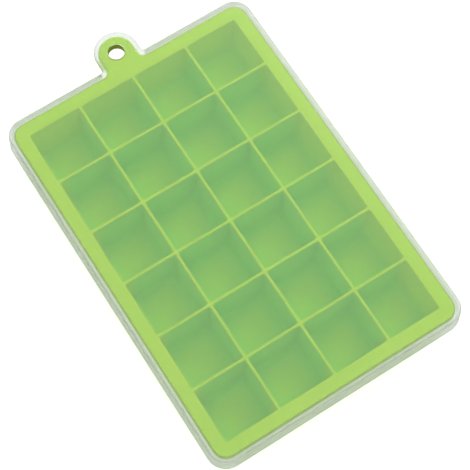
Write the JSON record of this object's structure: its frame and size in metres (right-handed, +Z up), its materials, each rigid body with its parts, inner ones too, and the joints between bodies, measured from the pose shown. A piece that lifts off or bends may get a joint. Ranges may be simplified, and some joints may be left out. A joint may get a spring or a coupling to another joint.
{
  "type": "silicone ice cube tray",
  "caption": "Soft green one-piece ice cube tray with square cells, a flat rim and a hanging tab with a hole, under a clear lift-off lid with a shallow skirt and a tongue over the tab.",
  "frame": {"origin": "on the plane the cups stand on, under the middle of the whole outline, tab included", "axes": "+Z up, +Y along the tray towards the hanging tab, +X across it"},
  "size_m": [0.1212, 0.1888, 0.0222],
  "materials": {
    "green_silicone": "satin, slightly translucent lime-green silicone",
    "clear_lid_plastic": "clear, slightly hazy moulded plastic"
  },
  "bodies": {
    "tray": {"tray": "green_silicone"},
    "lid": {"lid": "clear_lid_plastic"}
  },
  "joints": [
    {"name": "lid_lift", "type": "slide", "parent": "tray", "child": "lid", "axis": [0, 0, 1], "range_m": [0, 0.06]}
  ]
}
